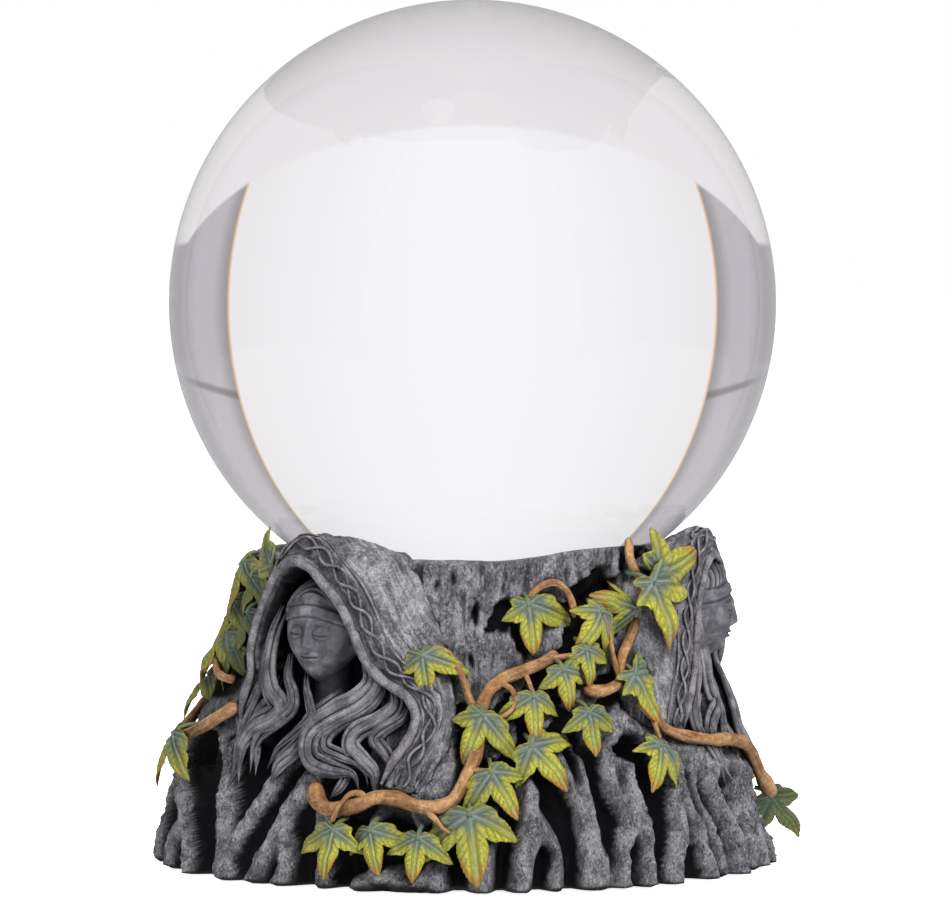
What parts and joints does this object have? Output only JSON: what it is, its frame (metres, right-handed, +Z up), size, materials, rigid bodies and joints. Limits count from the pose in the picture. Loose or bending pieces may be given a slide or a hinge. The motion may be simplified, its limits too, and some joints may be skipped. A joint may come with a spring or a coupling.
{
  "type": "crystal ball on stand",
  "caption": "Solid clear glass gazing ball resting in the bowl of a cast resin tree-stump stand with hooded figures, hanging ivy and a skirt of roots.",
  "frame": {"origin": "the middle of the flat felt face that the stand rests on", "axes": "+Z up along the axis of the ball and its bowl, -Y out of the front, between the first and second figures, +X to the right of the front"},
  "size_m": [0.1221, 0.1177, 0.1565],
  "materials": {
    "crystal_glass": "solid clear crystal glass, polished all over",
    "stone_resin": "cast polyresin, painted grey with a black wash in the hollows and a pale dry brush on the ridges",
    "stone_resin_face": "the same painted polyresin, smoother on the skin",
    "vine_paint": "cast polyresin, hand painted orange brown with darker hollows, low sheen",
    "ivy_leaf_paint": "cast polyresin, hand painted yellow green over dark green with pale veins and ochre edges, satin",
    "black_felt": "pressed black felt",
    "clear_silicone": "translucent silicone"
  },
  "bodies": {
    "stand": {"crone_face": "stone_resin_face", "crone_hair_left": "stone_resin", "crone_hair_right": "stone_resin", "crone_hood": "stone_resin", "felt_base_pad": "black_felt", "ivy_leaf_back_01": "ivy_leaf_paint", "ivy_leaf_back_02": "ivy_leaf_paint", "ivy_leaf_back_03": "ivy_leaf_paint", "ivy_leaf_back_04": "ivy_leaf_paint", "ivy_leaf_back_05": "ivy_leaf_paint", "ivy_leaf_back_06": "ivy_leaf_paint", "ivy_leaf_front_01": "ivy_leaf_paint", "ivy_leaf_front_02": "ivy_leaf_paint", "ivy_leaf_front_03": "ivy_leaf_paint", "ivy_leaf_front_04": "ivy_leaf_paint", "ivy_leaf_front_05": "ivy_leaf_paint", "ivy_leaf_front_06": "ivy_leaf_paint", "ivy_leaf_front_07": "ivy_leaf_paint", "ivy_leaf_front_08": "ivy_leaf_paint", "ivy_leaf_front_09": "ivy_leaf_paint", "ivy_leaf_front_10": "ivy_leaf_paint", "ivy_leaf_front_11": "ivy_leaf_paint", "ivy_leaf_front_12": "ivy_leaf_paint", "ivy_leaf_front_13": "ivy_leaf_paint", "ivy_leaf_front_14": "ivy_leaf_paint", "ivy_leaf_front_15": "ivy_leaf_paint", "ivy_leaf_front_16": "ivy_leaf_paint", "ivy_leaf_front_17": "ivy_leaf_paint", "ivy_leaf_front_18": "ivy_leaf_paint", "ivy_leaf_front_19": "ivy_leaf_paint", "ivy_leaf_front_20": "ivy_leaf_paint", "ivy_leaf_left_01": "ivy_leaf_paint", "ivy_leaf_left_02": "ivy_leaf_paint", "ivy_leaf_left_03": "ivy_leaf_paint", "ivy_leaf_left_04": "ivy_leaf_paint", "ivy_leaf_left_05": "ivy_leaf_paint", "ivy_leaf_left_06": "ivy_leaf_paint", "maiden_face": "stone_resin_face", "maiden_hair_left": "stone_resin", "maiden_hair_right": "stone_resin", "maiden_hood": "stone_resin", "mother_face": "stone_resin_face", "mother_hair_left": "stone_resin", "mother_hair_right": "stone_resin", "mother_hood": "stone_resin", "seat_bumper_1": "clear_silicone", "seat_bumper_2": "clear_silicone", "seat_bumper_3": "clear_silicone", "stump_casting": "stone_resin", "vine_back_main": "vine_paint", "vine_back_twig": "vine_paint", "vine_front_arch": "vine_paint", "vine_front_left_twig": "vine_paint", "vine_front_main": "vine_paint", "vine_front_right": "vine_paint", "vine_front_top": "vine_paint", "vine_left_main": "vine_paint", "vine_left_twig": "vine_paint", "vine_right_wrap": "vine_paint"},
    "ball": {"crystal_ball": "crystal_glass"}
  },
  "joints": [
    {"name": "ball_lift", "type": "slide", "parent": "stand", "child": "ball", "axis": [0, 0, 1], "range_m": [0, 0.07]}
  ]
}
